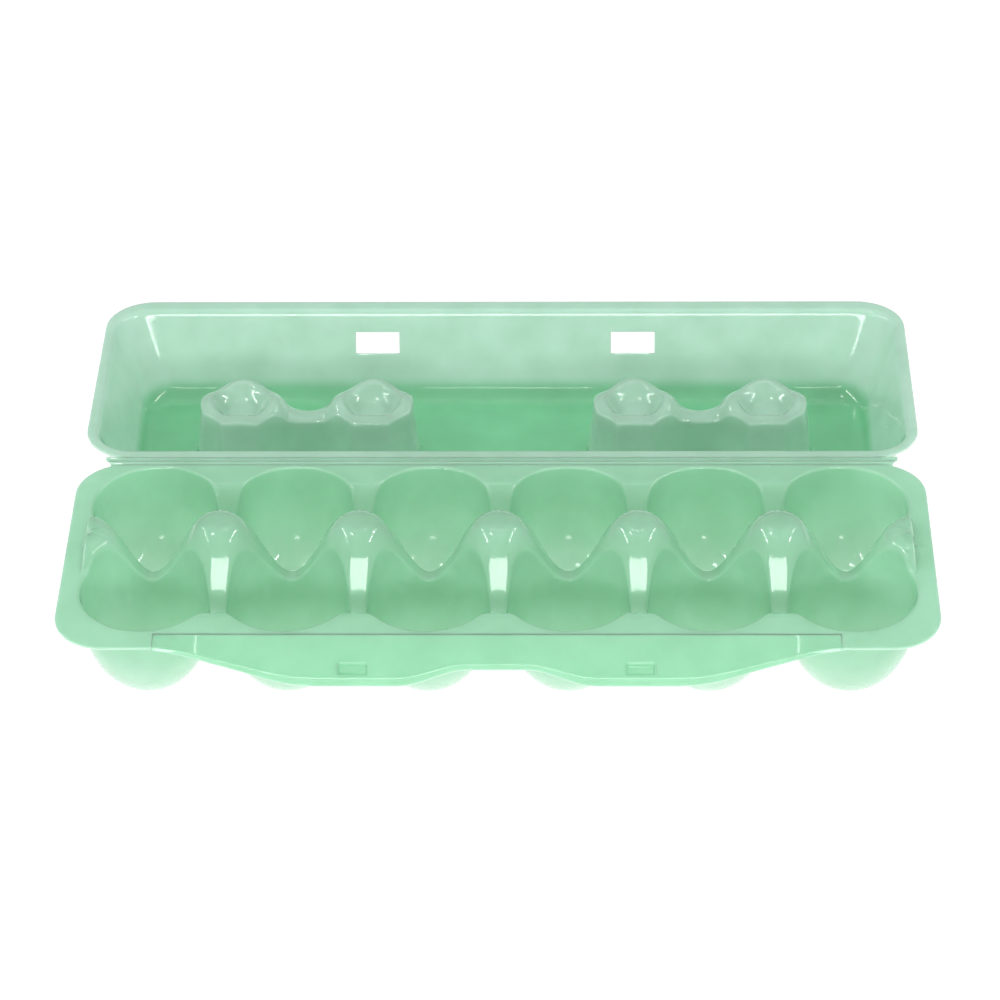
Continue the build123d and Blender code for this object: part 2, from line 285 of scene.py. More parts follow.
def tray_height(x, y):
    """Height of ridges, posts and rim over a point outside the cells."""
    post_x = np.clip(np.rint(x / PITCH), 1 - COLUMNS // 2, COLUMNS // 2 - 1) * PITCH
    ridges = crest_height(np.hypot(x - post_x, y), POST_TOP, POST_FLAT)
    inside = np.maximum(np.minimum(PITCH - abs(y), FIELD_HALF - abs(x)), 0)
    rim = soft_min(crest_height(inside, POST_TOP, POST_FLAT), RIM_TOP, CUSP_ROUND)
    bump = crest_height(np.hypot(abs(x) - FIELD_HALF, y), END_POST_TOP, END_POST_FLAT)
    bump = bump + (RIM_TOP - END_POST_SINK - bump) * ease(abs(x), *END_POST_FACE)
    near_rim = ease(np.maximum(rim, bump), RIM_TOP - 9, RIM_TOP - END_POST_SINK)
    return np.maximum(ridges, soft_max(rim, bump, 0.01 + END_POST_BLEND * near_rim))


def bowl_profile():
    """Radius and height from a bowl's middle up to the top of a post's wall."""
    bowl = cubic(FOOT, *BOWL_HANDLES, BOWL_MOUTH, 60)
    return np.vstack([[(0, FOOT[1])], bowl, [WALL_TOP, POST_WALL_TOP]])


BOWL = bowl_profile()


def wall_radius(height):
    return np.interp(height, BOWL[1:, 1], BOWL[1:, 0])


def tile_outline(column, front):
    """The part of the sheet that belongs to one cell, from the cell's middle."""
    x = (column - (COLUMNS - 1) / 2) * PITCH
    y = -HALF_PITCH if front else HALF_PITCH
    side = 1 if x > 0 else -1
    at_end = column in (0, COLUMNS - 1)
    far_x = (END_EDGE - abs(x)) if at_end else HALF_PITCH
    near_x = -HALF_PITCH
    inner_y = HALF_PITCH if front else -HALF_PITCH
    if front:
        outer_y = FRONT_EDGE - y if at_end else CREASE - y
    else:
        outer_y = REAR_EDGE - y
    way = -1 if front else 1
    points = [(near_x, inner_y), (far_x, inner_y)]
    if at_end:
        corner_x = far_x - RIM_CORNER
        corner_y = outer_y - way * RIM_CORNER
        for turn in np.radians(np.arange(0, 91, 7.5)):
            across, out = RIM_CORNER * math.cos(turn), RIM_CORNER * math.sin(turn)
            points.append((corner_x + across, corner_y + way * out))
        if front:
            step = NOTCH_HALF - abs(x)
            points += [(step, outer_y), (step - 0.05, CREASE - y)]
            outer_y = CREASE - y
    else:
        points.append((far_x, outer_y))
    points.append((near_x, outer_y))
    outline = np.array(points)
    if side < 0:
        outline[:, 0] *= -1
    return (x, y), outline


def cell_points(centre, outline):
    """Rows of points along rays from a cell's middle out to its tile's outline."""
    turns = np.degrees(np.arctan2(outline[:, 1], outline[:, 0]))
    rays = []
    for angle in spread_angles(list(turns)):
        along = np.array([math.cos(angle), math.sin(angle)])
        reach = ray_reach(angle, outline)

        def height(distance):
            point = np.array(centre) + along * distance
            return float(tray_height(point[0], point[1]))

        edge = WALL_TOP[0]
        for _ in range(12):
            edge = float(wall_radius(height(edge)))
        top = height(edge)
        round_by = CREST_ROUND if top < RIM_TOP - 0.3 else RIM_ROUND
        round_out = min(round_by, 0.75 * (reach - edge))
        start_height = top - round_by
        low = np.linspace(0, 1, BOWL_RINGS)
        bend = np.searchsorted(BOWL[:, 1], BOWL_TOP_RING, side="right")
        inner = BOWL[:bend]
        arc = np.concatenate([[0], np.cumsum(np.hypot(*np.diff(inner, axis=0).T))])
        bowl_radius = np.interp(low * arc[-1], arc, inner[:, 0])
        bowl_height = np.interp(low * arc[-1], arc, inner[:, 1])
        bowl_radius[0] = 0.001
        wall_height = np.linspace(bowl_height[-1], start_height, WALL_RINGS + 1)[1:]
        wall = wall_radius(wall_height)
        share = np.linspace(0, 1, FILLET_RINGS + 1)[1:]
        end = edge + round_out
        end_height = height(end)
        fillet_radius = quadratic(wall[-1], edge, end, share)
        fillet_height = quadratic(start_height, top, end_height, share)
        crest = np.linspace(end, reach, CREST_RINGS + 1)[1:]
        outward = along[0] * math.copysign(1, centre[0])
        if abs(centre[0]) > FIELD_HALF - PITCH and outward > 0.01:
            falls = [(face - abs(centre[0])) / outward for face in END_POST_FACE]
            gap = 0.1 * (reach - end)
            top_of_fall = min(max(falls[0], end + gap), reach - 2 * gap)
            foot_of_fall = min(max(falls[1], top_of_fall + gap), reach - gap)
            stops = [end, top_of_fall, foot_of_fall, reach]
            snapped = np.interp(np.linspace(0, 3, CREST_RINGS + 1)[1:], range(4), stops)
            crest = crest + (snapped - crest) * (1 - float(ease(falls[0] / reach, 1.05, 1.3)))
        crest_top = [height(distance) for distance in crest]
        radius = np.concatenate([bowl_radius, wall, fillet_radius, crest])
        level = np.concatenate([bowl_height, wall_height, fillet_height, crest_top])
        place = np.array(centre)[None, :] + radius[:, None] * along[None, :]
        rays.append(np.column_stack([place[:, 0], place[:, 1] + POST_LINE, level]))
    return np.array(rays)


# The lid. U runs from the fold line across the open lid, H out of its mouth.

LID_TURN = math.radians(1.798)
LID_RIM = 1.4
LID_FLOOR = -30.8
LID_NEAR = 0.65
LID_FAR = 102.25
MOUTH_HALF = LID_HALF - 3.5
MOUTH_NEAR = 5.15
MOUTH_FAR = 96.49
WALL_RUN = 10.4
END_RUN = 11.2
MOUTH_CORNER = 13.0
FLOOR_CORNER = 11.0
MOUTH_ROUND = 1.6
MOUTH_DROP = MOUTH_ROUND * 1.3  # where the rounding ends on the wall
FLOOR_ROUND = 5.5
FLOOR_STEP = 4.0  # between the points inside the floor's mesh
FLOOR_CLEAR = 1.5  # from those points to the floor's outlines
WINDOW_TOP = 8.0  # below the lid's rim
WINDOW_LOW = 15.7
WINDOW_HALF = 8.0
BOSS_LINE = 47.65  # U of the row of bosses
BOSS_TOP = -5.0
BOSS_DIAGONAL_DROP = 2.0  # between the lobes
BOSS_CREST = 10.8  # radius at which a lobe starts to fall
WEB_TOP = -12.0
SEAT_GAP = 1.3  # over a post's tip when the lid is shut
BOSS_ROUND = 1.4
FOOT_ROUND = 3.0  # where a boss meets the floor
EGG_TOP_RADIUS = 19.9
EGG_FLOOR_RADIUS = 19.0
TOP_REACH = 14.5
FLOOR_REACH = 17.0


def lid_place(x, u, h):
    x, u, h = np.broadcast_arrays(x, u, h)
    y = LID_FOLD[1] + u * math.cos(LID_TURN) + h * math.sin(LID_TURN)
    z = LID_FOLD[2] - u * math.sin(LID_TURN) + h * math.cos(LID_TURN)
    return np.stack([x, y, z], axis=-1)


def long_stations(half):
    """Places along a long side, with the edges of the windows always among them."""
    fixed = []
    for middle in (-PITCH, 0, PITCH):
        fixed += list(middle + np.linspace(-WINDOW_HALF, WINDOW_HALF, 7))
    between = [np.linspace(-PITCH + WINDOW_HALF, -WINDOW_HALF, 9)[1:-1]]
    between.append(-between[0])
    reach = np.linspace(PITCH + WINDOW_HALF, half, 26)[1:]
    return np.sort(np.concatenate([fixed, *between, reach, -reach]))


def lid_loop(half, near, far, corner):
    """A rounded rectangle, always with the same number of points in the same order."""
    along = long_stations(half - corner)
    short = np.linspace(near + corner, far - corner, 25)
    turn = np.radians(np.linspace(0, 90, 10))[1:-1]
    cosine, sine = np.cos(turn) * corner, np.sin(turn) * corner
    points = [(x, near) for x in along]
    points += [(half - corner + s, near + corner - c) for c, s in zip(cosine, sine)]
    points += [(half, u) for u in short]
    points += [(half - corner + c, far - corner + s) for c, s in zip(cosine, sine)]
    points += [(x, far) for x in along[::-1]]
    points += [(-half + corner - s, far - corner + c) for c, s in zip(cosine, sine)]
    points += [(-half, u) for u in short[::-1]]
    points += [(-half + corner - c, near + corner - s) for c, s in zip(cosine, sine)]
    return np.array(points + points[:1])


def wall_loop(drop, inset=0.0):
    """The lid's inner wall at a share of the way down to its floor."""
    corner = MOUTH_CORNER + (FLOOR_CORNER - MOUTH_CORNER) * drop - inset
    return lid_loop(
        MOUTH_HALF - END_RUN * drop - inset,
        MOUTH_NEAR + WALL_RUN * drop + inset,
        MOUTH_FAR - WALL_RUN * drop - inset,
        max(corner, 1.5),
    )


def lid_wall_points():
    depth = LID_RIM - LID_FLOOR
    rings = []
    for share in (0, 0.35, 0.7):
        edge = lid_loop(LID_HALF, LID_NEAR, LID_FAR, RIM_CORNER)
        mouth = wall_loop(0, -MOUTH_ROUND)
        rings.append((edge + (mouth - edge) * share, LID_RIM))
    for share in np.linspace(0, 1, 6):
        wall = wall_loop(MOUTH_DROP / depth)
        loop = quadratic(wall_loop(0, -MOUTH_ROUND), wall_loop(0), wall, share)
        rings.append((loop, LID_RIM - share**2 * MOUTH_DROP))
    beside_window = [WINDOW_TOP - 1.2, WINDOW_TOP, 10.0, 12.0, 14.0, WINDOW_LOW, WINDOW_LOW + 1.2]
    for drop in [4.5, *beside_window, 19.5, 22.0, 24.3]:
        rings.append((wall_loop(drop / depth), LID_RIM - drop))
    start_share = (depth - FLOOR_ROUND) / depth
    for share in np.linspace(0, 1, 9):
        loop = quadratic(wall_loop(start_share), wall_loop(1), wall_loop(1, FLOOR_ROUND), share)
        rings.append((loop, LID_FLOOR + (1 - share) ** 2 * FLOOR_ROUND))
    return np.array([lid_place(loop[:, 0], loop[:, 1], level) for loop, level in rings])


def circle_hit(start, along, centre, radius):
    offset = np.array(centre) - start
    ahead = float(offset @ along)
    miss = float(offset @ offset) - ahead**2
    if miss > radius**2 or ahead < 0:
        return 1e3
    return ahead - math.sqrt(radius**2 - miss)


def support_height(x, u, bosses, on_web):
    """Height of a support's top, where U is measured from the line of bosses."""
    boss = min(bosses, key=lambda place: math.hypot(x - place, u))
    radius = math.hypot(x - boss, u)
    turn = math.atan2(u, x - boss)
    peak = BOSS_TOP - BOSS_DIAGONAL_DROP * math.sin(2 * turn) ** 2
    shoulder = peak - 0.16 * max(radius - BOSS_CREST, 0) ** 2
    seat = LID_RIM - SEAT_GAP - (float(crest_height(radius, POST_TOP, POST_FLAT)) - RIM_TOP)
    top = float(soft_min(np.array(seat), np.array(shoulder), 1.0))
    if on_web and abs(x - boss) > BOSS_CREST:
        middle = (bosses[0] + bosses[1]) / 2
        web_rise = (abs(x - middle) / (HALF_PITCH - BOSS_CREST)) ** 2
        web = WEB_TOP + (BOSS_TOP - WEB_TOP) * web_rise - 0.1 * u**2
        top = max(top, web)
    return top


def support_points(bosses):
    """Curves from the middle of a pair of bosses down to the lid's floor, all round."""
    left, right = bosses
    columns = (left - HALF_PITCH, (left + right) / 2, right + HALF_PITCH)
    eggs = [(x, u) for x in columns for u in (-HALF_PITCH, HALF_PITCH)]
    starts = []
    for angle in np.arange(90, 271, 3):
        starts.append((left, 0.0, angle, False))
    stations = np.linspace(left, right, 49)[1:-1]
    for x in stations:
        starts.append((x, 0.0, 270.0, True))
    for angle in np.arange(-90, 91, 3):
        starts.append((right, 0.0, angle, False))
    for x in stations[::-1]:
        starts.append((x, 0.0, 90.0, True))
    starts.append(starts[0])
    span = BOSS_TOP - LID_FLOOR
    curves, foot_line = [], []
    for x, u, angle, on_web in starts:
        start = np.array([x, u])
        along = np.array([math.cos(math.radians(angle)), math.sin(math.radians(angle))])
        offset = min(abs(x - left), abs(x - right))

        def reach(level):
            share = (BOSS_TOP - level) / span
            egg = EGG_TOP_RADIUS + (EGG_FLOOR_RADIUS - EGG_TOP_RADIUS) * share
            wall = min(circle_hit(start, along, place, egg) for place in eggs)
            tip = TOP_REACH + (FLOOR_REACH - TOP_REACH) * share
            tip = math.sqrt(max(tip**2 - offset**2, 0)) if offset < 9 else 1e3
            return float(soft_min(np.array(min(wall, 40.0)), np.array(min(tip, 40.0)), 0.9))

        def top_at(distance):
            point = start + along * distance
            return support_height(point[0], point[1], bosses, on_web)

        edge = reach(BOSS_TOP)
        for _ in range(6):
            edge = reach(top_at(max(edge - 1.5, 0)))
        top = top_at(max(edge - 1.5, 0))
        round_by = min(BOSS_ROUND, 0.4 * edge)
        inner = np.linspace(0, 1, 13) * (edge - round_by)
        inner_top = [top_at(distance) for distance in inner]
        rows = [(distance, level) for distance, level in zip(inner, inner_top)]
        flank_level = top - round_by
        flank = reach(flank_level)
        for share in np.linspace(0, 1, 7)[1:]:
            distance = quadratic(edge - round_by, edge, flank, share)
            rows.append((distance, quadratic(inner_top[-1], top, flank_level, share)))
        for level in np.linspace(flank_level, LID_FLOOR + FOOT_ROUND, 8)[1:]:
            rows.append((reach(level), level))
        wall, foot = reach(LID_FLOOR + FOOT_ROUND), reach(LID_FLOOR)
        for share in np.linspace(0, 1, 7)[1:]:
            distance = quadratic(wall, foot, foot + FOOT_ROUND, share)
            rows.append((distance, LID_FLOOR + (1 - share) ** 2 * FOOT_ROUND))
        rows = np.array(rows)
        place = start[None, :] + rows[:, :1] * along[None, :]
        curves.append(lid_place(place[:, 0], place[:, 1] + BOSS_LINE, rows[:, 1]))
        foot_line.append((place[-1, 0], place[-1, 1] + BOSS_LINE))
    return np.array(curves), np.array(foot_line)


# The lock flap. T runs down the flap from its fold line, N out of its face.

FLAP_TURN = math.radians(34.0)
LIP_TURN = math.radians(56.0)
FLAP_FADE = (84.0, 112.0)  # X over which the flap levels out to the rim
FLAP_LENGTH = 16.5
LIP_SHARE = 0.2
BUTTON_HALF = (4.75, 1.9)
BUTTON_REACH = 11.3
BUTTON_DEPTH = 1.6


def flap_length(x):
    """Length of the flap at each place along it: a notch, two full parts and tapering ends."""
    x = abs(x)
    notch = FLAP_LENGTH - 5.3 * (1 - ease(x, 9, 33))
    taper = np.interp(
        x,
        [0, 60, 66, 72, 78, 84, 90, 96, 102, 107, 110.5, FLAP_HALF],
        [16.5, 16.5, 16.1, 15.1, 13.5, 11.7, 10.2, 9.0, 8.0, 7.3, 6.8, 6.5],
    )
    return np.minimum(notch, taper)


def flap_turn(x):
    """Slope of the flap, which fades where its tapering ends run into the rim."""
    return FLAP_TURN * (1 - 0.85 * float(ease(abs(x), *FLAP_FADE)))


def flap_place(x, t, n):
    turn = flap_turn(x)
    y = FLAP_FOLD[1] - t * math.cos(turn) - n * math.sin(turn)
    z = FLAP_FOLD[2] - t * math.sin(turn) + n * math.cos(turn)
    return np.array([x, y, z])


def flap_points():
    stations = list(np.linspace(-FLAP_HALF, FLAP_HALF, 190))
    for middle in (-PITCH, PITCH):
        for side in (-1, 1):
            rim = middle + side * BUTTON_HALF[0]
            stations += [rim - 0.45, rim - 0.15, rim + 0.15, rim + 0.45]
    stations = np.unique(np.round(stations, 3))
    columns = []
    for x in stations:
        length = float(flap_length(np.array(x)))
        lip = LIP_SHARE * length
        panel_end = length - lip * math.cos(LIP_TURN)
        bend = min(0.9, 0.3 * lip)
        half_sheet = RIM_TOP - FLAP_FOLD[2]
        turn = flap_turn(x)
        back, rise = FOLD_SETBACK * math.cos(turn), FOLD_SETBACK * math.sin(turn)
        crease = (-back - half_sheet * math.sin(turn), half_sheet * math.cos(turn) - rise)
        points = [flap_place(x, *crease)]
        for ahead in np.linspace(turn, 0, 5):
            t, n = -half_sheet * math.sin(ahead), half_sheet * math.cos(ahead)
            points.append(flap_place(x, t, n))
        for share in np.linspace(0, 1, 29)[1:]:
            t = share * (panel_end - bend)
            inside_x = BUTTON_HALF[0] - abs(abs(x) - PITCH)
            inside_t = BUTTON_HALF[1] - abs(t - BUTTON_REACH)
            dip = BUTTON_DEPTH * float(ease(min(inside_x, inside_t), -0.25, 0.75))
            points.append(flap_place(x, t, half_sheet - dip))
        for share in np.linspace(0, 1, 6)[1:]:
            t = panel_end - bend * (1 - share) ** 2 + bend * math.cos(LIP_TURN) * share**2
            n = half_sheet - bend * math.sin(LIP_TURN) * share**2
            points.append(flap_place(x, t, n))
        for share in np.linspace(0, 1, 4)[1:]:
            run = bend + (lip - bend) * share
            t, n = panel_end + run * math.cos(LIP_TURN), half_sheet - run * math.sin(LIP_TURN)
            points.append(flap_place(x, t, n))
        columns.append(np.array(points))
    return np.array(columns)


# The hinge strip, from the tray's rim over two folds to the lid's flange

STRIP_HALF = (135.6, 137.6)
STRIP_SINK = 0.55  # depth of a fold line below the rims


def strip_points(first, last):
    """A part of the strip between two shares of its width."""
    rows = []
    for share in np.linspace(first, last, 9):
        y = STRIP_FOLD[1] + (LID_FOLD[1] - STRIP_FOLD[1]) * share
        half = STRIP_HALF[0] + (STRIP_HALF[1] - STRIP_HALF[0]) * min(max(share, 0), 1)
        fold = min(abs(share), abs(share - 1))
        z = RIM_TOP - 0.25 - STRIP_SINK * (1 - float(ease(np.array(fold), 0, 0.28)))
        along = np.linspace(-half, half, 60)
        rows.append(np.column_stack([along, np.full(60, y), np.full(60, z)]))
    return np.array(rows)


# Materials


def linear(hex_colour):
    """Linear RGBA from an sRGB hex colour."""
    channels = []
    for start in (0, 2, 4):
        value = int(hex_colour[start : start + 2], 16) / 255
        channels.append(value / 12.92 if value <= 0.04045 else ((value + 0.055) / 1.055) ** 2.4)
    return [*channels, 1.0]


def add_node(tree, kind, inputs=None, **settings):
    """Adds a node, sets its properties, and gives each input a value or a link."""
    node = tree.nodes.new(kind)
    for key, value in settings.items():
        setattr(node, key, value)
    for key, value in (inputs or {}).items():
        if isinstance(value, bpy.types.NodeSocket):
            tree.links.new(value, node.inputs[key])
        else:
            node.inputs[key].default_value = value
    return node


def noise(tree, place, size, detail):
    """A noise pattern whose features are about size mm across."""
    inputs = {"Vector": place, "Scale": 1 / (size * MM), "Detail": detail}
    return add_node(tree, "ShaderNodeTexNoise", inputs).outputs["Fac"]


def noise_range(tree, pattern, low, high):
    """The middle of a noise pattern's range spread from low to high."""
    inputs = {"Value": pattern, "From Min": 0.3, "From Max": 0.7, "To Min": low, "To Max": high}
    return add_node(tree, "ShaderNodeMapRange", inputs).outputs["Result"]


def foam_skin(name, bright, deep, low, high, glow):
    """Moulded polystyrene foam: a thin glossy skin over a milky body that lets some light in."""
    material = bpy.data.materials.new(name)
    material.use_nodes = True
    tree = material.node_tree
    tree.nodes.clear()
    place = add_node(tree, "ShaderNodeTexCoord").outputs["Object"]
    # Painted light and shade: the colour moves with height from deep to bright between low and
    # high, standing in for how the light falls in the hollows and shines through the sheet
    height = add_node(tree, "ShaderNodeSeparateXYZ", {"Vector": place}).outputs["Z"]
    rise = add_node(
        tree,
        "ShaderNodeMapRange",
        {"Value": height, "From Min": low * MM, "From Max": high * MM},
        interpolation_type="SMOOTHSTEP",
    ).outputs["Result"]
    painted_light_by_height = add_node(
        tree,
        "ShaderNodeMix",
        {"Factor": rise, "A": linear(deep), "B": linear(bright)},
        data_type="RGBA",
    )
    # Clouds about 14 mm across, where the foam is a little denser
    cloud = noise(tree, place, 14, 2.0)
    cloud_level = noise_range(tree, cloud, 0.94, 1.05)
    clouded = add_node(
        tree,
        "ShaderNodeVectorMath",
        {0: painted_light_by_height.outputs["Result"], "Scale": cloud_level},
        operation="SCALE",
    ).outputs["Vector"]
    # Foam cells under the skin, about 0.9 mm across, felt as a faint orange peel that is
    # stronger on the crests of slow waves
    cells = noise(tree, place, 0.9, 1.0)
    waves = noise(tree, place, 6, 1.0)
    peel = add_node(
        tree, "ShaderNodeMath", {0: waves, 1: cells, 2: cells}, operation="MULTIPLY_ADD"
    )
    bump = add_node(
        tree,
        "ShaderNodeBump",
        {"Height": peel.outputs["Value"], "Strength": 0.25, "Distance": 0.03 * MM},
    ).outputs["Normal"]
    # The skin's shine wavers a little with the clouds
    shine = noise_range(tree, cloud, 0.09, 0.14)
    shader = add_node(
        tree,
        "ShaderNodeBsdfPrincipled",
        {
            "Base Color": clouded,
            "Roughness": shine,
            "Normal": bump,
            "IOR": 1.5,
            "Subsurface Weight": glow,
            "Subsurface Radius": (1.0, 1.0, 1.0),
            "Subsurface Scale": 3.5 * MM,
            "Coat Weight": 0.6,
            "Coat Roughness": 0.04,
        },
    )
    add_node(tree, "ShaderNodeOutputMaterial", {"Surface": shader.outputs["BSDF"]})
    return material


TABLE_GLOW = 0.96


def studio_floor():
    """Smooth white paper with a trace of tooth."""
    material = bpy.data.materials.new("Seamless white paper")
    material.use_nodes = True
    tree = material.node_tree
    tree.nodes.clear()
    place = add_node(tree, "ShaderNodeTexCoord").outputs["Object"]
    # Tooth of the paper, about 3 mm across
    tooth = noise(tree, place, 3, 3.0)
    tone = add_node(
        tree,
        "ShaderNodeMix",
        {"Factor": tooth, "A": linear("6c6d6c"), "B": linear("727272")},
        data_type="RGBA",
    )
    # The paper lies on a lit table, which takes the shadows away and shines through the foam
    shader = add_node(
        tree,
        "ShaderNodeBsdfPrincipled",
        {
            "Base Color": tone.outputs["Result"],
            "Roughness": 0.8,
            "Emission Color": (1.0, 1.0, 1.0, 1.0),
            "Emission Strength": TABLE_GLOW,
        },
    )
    add_node(tree, "ShaderNodeOutputMaterial", {"Surface": shader.outputs["BSDF"]})
    return material


def paint(piece, material):
    piece.data.materials.clear()
    piece.data.materials.append(material)


# The operators


CAMERA_TARGET = (0.0, -19.449, 36.5)
FLOOR_DROP = 0.0002  # metres, so that the feet don't share the floor's plane


class CartonSettings(bpy.types.PropertyGroup):
    sheet: bpy.props.FloatProperty(
        name="Sheet",
        description="Thickness of the moulded foam sheet",
        default=0.0008,
        unit="LENGTH",
    )
    edge_round: bpy.props.FloatProperty(
        name="Edge rounding",
        description="Rounding of the sheet's cut edges",
        default=0.00012,
        unit="LENGTH",
    )
    lens: bpy.props.FloatProperty(
        name="Lens", description="Focal length of the camera", default=0.1413, unit="LENGTH"
    )
    camera_distance: bpy.props.FloatProperty(
        name="Camera distance",
        description="From the camera to its target",
        default=1.344,
        unit="LENGTH",
    )
    camera_elevation: bpy.props.FloatProperty(
        name="Camera elevation",
        description="Angle of the camera above the table",
        default=math.radians(36.67),
        unit="ROTATION",
    )
    camera_yaw: bpy.props.FloatProperty(
        name="Camera yaw",
        description="Turn of the camera about the upright",
        default=math.radians(-1.342),
        unit="ROTATION",
    )
    camera_roll: bpy.props.FloatProperty(
        name="Camera roll",
        description="Turn of the camera about its own line of sight",
        default=math.radians(0.819),
        unit="ROTATION",
    )
    floor_size: bpy.props.FloatProperty(
        name="Floor size",
        description="Width of the paper that the carton stands on",
        default=14.0,
        unit="LENGTH",
    )


class CARTON_OT_tray(bpy.types.Operator):
    """The tray: rim, twelve cells, ridges and posts, moulded in one sheet"""

    bl_idname = "carton.tray"
    bl_label = "Egg tray"

    def execute(self, context):
        settings = context.scene.carton
        tiles = []
        for column in range(COLUMNS):
            for front in (True, False):
                centre, outline = tile_outline(column, front)
                tiles.append(sheet_grid("cell", cell_points(centre, outline)))
        tray = join(tiles, "tray_sheet")
        face_up(tray)
        thicken(tray, settings.sheet / MM, settings.edge_round / MM)
        # Painted light: the cells are coloured paler towards their bottoms, standing in for the
        # light that comes through their walls against the shade inside them
        paint(tray, foam_skin("Mint foam sheet, drawn", "a2dcb6", "b2eac2", 4, 32, 1.0))
        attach(tray, "tray")
        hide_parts(*frame["record"]["behaviour"]["bodies"]["tray"])
        return {"FINISHED"}


class CARTON_OT_lid(bpy.types.Operator):
    """The lid: flange, domed walls with two windows, and two supports of two bosses each"""

    bl_idname = "carton.lid"
    bl_label = "Domed lid"

    def execute(self, context):
        settings = context.scene.carton
        wall = sheet_grid("lid wall", lid_wall_points())
        supports, feet = [], []
        for side in (-1, 1):
            bosses = sorted((side * PITCH, side * 2 * PITCH))
            points, foot = support_points(bosses)
            supports.append(sheet_grid("support", points))
            feet.append(foot)
        lid = join([wall, *supports, self.floor_between(feet)], "lid_sheet")
        pick(lid)
        edit_all(merge_seams)
        self.cut_windows(lid)
        face_up(lid)
        thicken(lid, settings.sheet / MM, settings.edge_round / MM)
        # Painted light and shade: the lid is coloured paler and greyer than the tray for the light
        # through its far wall, and its floor darker as painted shade in the hollow
        paint(lid, foam_skin("Mint foam sheet, lid", "b2e0c4", "74be91", 4, 10, 1.0))
        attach(lid, "lid")
        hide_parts(*frame["record"]["behaviour"]["bodies"]["lid"])
        return {"FINISHED"}

    def cut_windows(self, lid):
        """Takes the faces of the far wall out where the lock buttons go through."""
        slack = 0.1
        pick(lid)
        bpy.ops.object.mode_set(mode="EDIT")
        bpy.ops.mesh.select_mode(type="FACE")
        bpy.ops.mesh.select_all(action="DESELECT")
        bpy.ops.object.mode_set(mode="OBJECT")
        for face in lid.data.polygons:
            middle = face.center / MM
            y, z = middle.y - LID_FOLD[1], middle.z - LID_FOLD[2]
            u = y * math.cos(LID_TURN) - z * math.sin(LID_TURN)
            drop = LID_RIM - y * math.sin(LID_TURN) - z * math.cos(LID_TURN)
            beside = abs(abs(middle.x) - PITCH) < WINDOW_HALF + slack
            level = WINDOW_TOP - slack < drop < WINDOW_LOW + slack
            face.select = u > MOUTH_FAR - WALL_RUN and level and beside
        if not any(face.select for face in lid.data.polygons):
            raise RuntimeError("the lid's windows found no faces to cut")
        bpy.ops.object.mode_set(mode="EDIT")
        bpy.ops.mesh.delete(type="FACE")
        bpy.ops.mesh.select_mode(type="VERT")
        bpy.ops.object.mode_set(mode="OBJECT")

    def floor_between(self, feet):
        """The flat floor, in triangles between the wall's lowest ring and the supports' feet."""
        edge = wall_loop(1, FLOOR_ROUND)
        loops = [loop[:-1] for loop in (edge, *feet)]
        points, sides = [], []
        for loop in loops:
            first = len(points)
            points += list(loop)
            sides += [(first + k, first + (k + 1) % len(loop)) for k in range(len(loop))]
        for x in np.arange(-MOUTH_HALF, MOUTH_HALF, FLOOR_STEP):
            for u in np.arange(MOUTH_NEAR, MOUTH_FAR, FLOOR_STEP):
                spot = np.array([x, u])
                clear = min(np.hypot(*(loop - spot).T).min() for loop in loops)
                if self.on_floor(spot, loops) and clear > FLOOR_CLEAR:
                    points.append(spot)
        flat = [Vector((float(x), float(u))) for x, u in points]
        corners, _, faces, *_ = delaunay_2d_cdt(flat, sides, [], 0, 1e-5)
        middles = [sum(np.array(corners[k]) for k in face) / 3 for face in faces]
        kept = [face for face, middle in zip(faces, middles) if self.on_floor(middle, loops)]
        if not kept:
            raise RuntimeError("the lid's floor came out empty")
        mesh = bpy.data.meshes.new("lid floor")
        places = [lid_place(x, u, LID_FLOOR) * MM for x, u in corners]
        mesh.from_pydata([tuple(map(float, place)) for place in places], [], kept)
        floor = bpy.data.objects.new("lid floor", mesh)
        bpy.context.collection.objects.link(floor)
        pick(floor)
        edit_all(bpy.ops.mesh.delete_loose)
        return floor

    def on_floor(self, spot, loops):
        """Is a place inside the wall's ring and outside the supports' feet?"""
        inside = []
        for loop in loops:
            start, end = loop - spot, np.roll(loop, -1, axis=0) - spot
            crosses = (start[:, 1] <= 0) != (end[:, 1] <= 0)
            start, end = start[crosses], end[crosses]
            hits = start[:, 0] - start[:, 1] * (end[:, 0] - start[:, 0]) / (end[:, 1] - start[:, 1])
            inside.append((hits > 0).sum() % 2 == 1)
        return inside[0] and not any(inside[1:])


class CARTON_OT_hinge(bpy.types.Operator):
    """The hinge: a narrow strip pressed thin along its two fold lines"""

    bl_idname = "carton.hinge"
    bl_label = "Hinge strip"

    def execute(self, context):
        halves = (
            ("hinge_tray_side", -0.32, 0.5, "tray", "hinge", STRIP_FOLD),
            ("hinge_lid_side", 0.5, 1.32, "hinge", "lid", LID_FOLD),
        )
        skin = foam_skin("Mint foam sheet, pressed fold", "a0dcb6", "9ad8b0", 20, 36, 1.0)
        for name, first, last, before, after, fold in halves:
            strip = sheet_grid(name, strip_points(first, last))
            face_up(strip)
            thicken(strip, 0.6, 0.1)
            paint(strip, skin)
            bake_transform(strip)
            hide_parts("hinge_strip")
        return {"FINISHED"}


class CARTON_OT_flap(bpy.types.Operator):
    """The lock flap: centre notch, tapering ends, turned-down lip and two pressed buttons"""

    bl_idname = "carton.flap"
    bl_label = "Lock flap"

    def execute(self, context):
        settings = context.scene.carton
        flap = sheet_grid("flap_sheet", flap_points())
        face_up(flap)
        thicken(flap, settings.sheet / MM, settings.edge_round / MM / 2)
        # Painted shade: the flap is coloured a little darker than the tray, and darker towards its
        # lip, to tone down the light on its slope
        paint(flap, foam_skin("Mint foam sheet, flap", "9ad8b0", "94d6aa", 20, 36, 1.0))
        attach(flap, "flap")
        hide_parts(*frame["record"]["behaviour"]["bodies"]["flap"])
        return {"FINISHED"}


